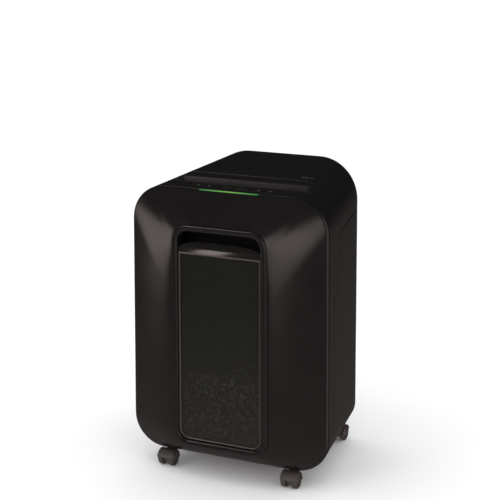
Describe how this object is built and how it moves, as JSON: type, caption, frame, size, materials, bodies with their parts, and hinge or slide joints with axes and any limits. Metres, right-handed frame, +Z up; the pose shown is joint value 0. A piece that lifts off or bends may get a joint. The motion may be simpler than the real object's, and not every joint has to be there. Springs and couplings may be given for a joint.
{
  "type": "paper shredder",
  "caption": "Upright rounded paper shredder with a feed slot on top, a pull-out bin with a window and grip, and swivel casters.",
  "frame": {"origin": "on the floor under the middle of the bounding box", "axes": "+Z up, front towards -Y, +X to the right seen from the front"},
  "size_m": [0.3498, 0.28, 0.503],
  "materials": {
    "gloss_housing": "moulded black ABS, gloss",
    "satin_housing": "moulded black ABS, satin",
    "inner_plastic": "moulded dark plastic, matt",
    "trim": "moulded grey trim, gloss",
    "smoked_window": "smoked clear plastic, gloss",
    "green_light": "lit green light guide",
    "caster_plastic": "moulded dark grey nylon, satin",
    "nylon": "natural nylon, satin",
    "steel": "machined steel",
    "rubber": "black rubber, matt",
    "circuit_board": "green circuit board"
  },
  "bodies": {
    "housing": {"front_bezel": "gloss_housing", "head_cover": "gloss_housing", "cabinet_shell": "gloss_housing", "base_floor": "inner_plastic", "left_bin_rail": "nylon", "right_bin_rail": "nylon", "throat_insert": "satin_housing", "status_light_bar": "green_light", "head_floor": "inner_plastic", "left_side_plate": "steel", "right_side_plate": "steel", "front_tie_rod": "steel", "rear_tie_rod": "steel", "front_stripper": "inner_plastic", "rear_stripper": "inner_plastic", "intermediate_gear_pin": "steel", "motor": "steel", "control_board": "circuit_board", "bin_switch": "inner_plastic", "power_switch_body": "satin_housing", "cord_gland": "rubber"},
    "bin": {"bin_front_cover": "gloss_housing", "window_frame": "gloss_housing", "handle_frame": "gloss_housing", "window_trim": "trim", "window_pane": "smoked_window", "grip_lip": "gloss_housing", "handle_scoop": "inner_plastic", "bin_tub": "inner_plastic"},
    "rear_cutter_shaft": {"rear_cutter": "steel", "rear_cutter_gear": "steel"},
    "front_cutter_shaft": {"front_cutter": "steel", "front_cutter_gear": "steel"},
    "intermediate_gear": {"intermediate_gear": "nylon"},
    "motor_rotor": {"motor_pinion": "steel"},
    "reverse_button": {"reverse_button": "satin_housing"},
    "power_button": {"power_button": "satin_housing"},
    "power_switch_rocker": {"power_switch_rocker": "satin_housing"},
    "front_left_caster": {"front_left_caster_hood": "caster_plastic"},
    "front_left_caster_wheels": {"front_left_caster_axle": "steel", "front_left_caster_left_wheel": "caster_plastic", "front_left_caster_right_wheel": "caster_plastic"},
    "front_right_caster": {"front_right_caster_hood": "caster_plastic"},
    "front_right_caster_wheels": {"front_right_caster_axle": "steel", "front_right_caster_left_wheel": "caster_plastic", "front_right_caster_right_wheel": "caster_plastic"},
    "rear_left_caster": {"rear_left_caster_hood": "caster_plastic"},
    "rear_left_caster_wheels": {"rear_left_caster_axle": "steel", "rear_left_caster_left_wheel": "caster_plastic", "rear_left_caster_right_wheel": "caster_plastic"},
    "rear_right_caster": {"rear_right_caster_hood": "caster_plastic"},
    "rear_right_caster_wheels": {"rear_right_caster_axle": "steel", "rear_right_caster_left_wheel": "caster_plastic", "rear_right_caster_right_wheel": "caster_plastic"}
  },
  "joints": [
    {"name": "bin_slide", "type": "slide", "parent": "housing", "child": "bin", "axis": [0, -1, 0], "range_m": [0, 0.215]},
    {"name": "rear_cutter_spin", "type": "hinge", "parent": "housing", "child": "rear_cutter_shaft", "pos_m": [0, -0.031, 0.4], "axis": [1, 0, 0], "continuous": true},
    {"name": "front_cutter_spin", "type": "hinge", "parent": "housing", "child": "front_cutter_shaft", "pos_m": [0, -0.069, 0.4], "axis": [1, 0, 0], "continuous": true},
    {"name": "intermediate_gear_spin", "type": "hinge", "parent": "housing", "child": "intermediate_gear", "pos_m": [0, -0.00389, 0.40987], "axis": [1, 0, 0], "continuous": true},
    {"name": "motor_spin", "type": "hinge", "parent": "housing", "child": "motor_rotor", "pos_m": [0, 0.03168, 0.39692], "axis": [1, 0, 0], "continuous": true},
    {"name": "reverse_button_press", "type": "slide", "parent": "housing", "child": "reverse_button", "axis": [0, 0, -1], "range_m": [0, 0.001], "stiffness_N_per_m": 1500, "springref_m": -0.0005},
    {"name": "power_button_press", "type": "slide", "parent": "housing", "child": "power_button", "axis": [0, 0, -1], "range_m": [0, 0.001], "stiffness_N_per_m": 1500, "springref_m": -0.0005},
    {"name": "power_switch_rock", "type": "hinge", "parent": "housing", "child": "power_switch_rocker", "pos_m": [-0.084, 0.133, 0.092], "axis": [-1, 0, 0], "range_deg": [0, 16]},
    {"name": "front_left_caster_swivel", "type": "hinge", "parent": "housing", "child": "front_left_caster", "pos_m": [-0.112, -0.088, 0.04], "axis": [0, 0, 1], "continuous": true},
    {"name": "front_left_caster_roll", "type": "hinge", "parent": "front_left_caster", "child": "front_left_caster_wheels", "pos_m": [-0.112, -0.103, 0.013], "axis": [1, 0, 0], "continuous": true},
    {"name": "front_right_caster_swivel", "type": "hinge", "parent": "housing", "child": "front_right_caster", "pos_m": [0.112, -0.088, 0.04], "axis": [0, 0, 1], "continuous": true},
    {"name": "front_right_caster_roll", "type": "hinge", "parent": "front_right_caster", "child": "front_right_caster_wheels", "pos_m": [0.112, -0.103, 0.013], "axis": [1, 0, 0], "continuous": true},
    {"name": "rear_left_caster_swivel", "type": "hinge", "parent": "housing", "child": "rear_left_caster", "pos_m": [-0.112, 0.104, 0.04], "axis": [0, 0, 1], "continuous": true},
    {"name": "rear_left_caster_roll", "type": "hinge", "parent": "rear_left_caster", "child": "rear_left_caster_wheels", "pos_m": [-0.112, 0.119, 0.013], "axis": [1, 0, 0], "continuous": true},
    {"name": "rear_right_caster_swivel", "type": "hinge", "parent": "housing", "child": "rear_right_caster", "pos_m": [0.112, 0.104, 0.04], "axis": [0, 0, 1], "continuous": true},
    {"name": "rear_right_caster_roll", "type": "hinge", "parent": "rear_right_caster", "child": "rear_right_caster_wheels", "pos_m": [0.112, 0.119, 0.013], "axis": [1, 0, 0], "continuous": true}
  ],
  "couplings": [
    {"joint": "front_cutter_spin", "follows": "rear_cutter_spin", "ratio": -1},
    {"joint": "intermediate_gear_spin", "follows": "rear_cutter_spin", "ratio": -2},
    {"joint": "motor_spin", "follows": "rear_cutter_spin", "ratio": 8}
  ]
}
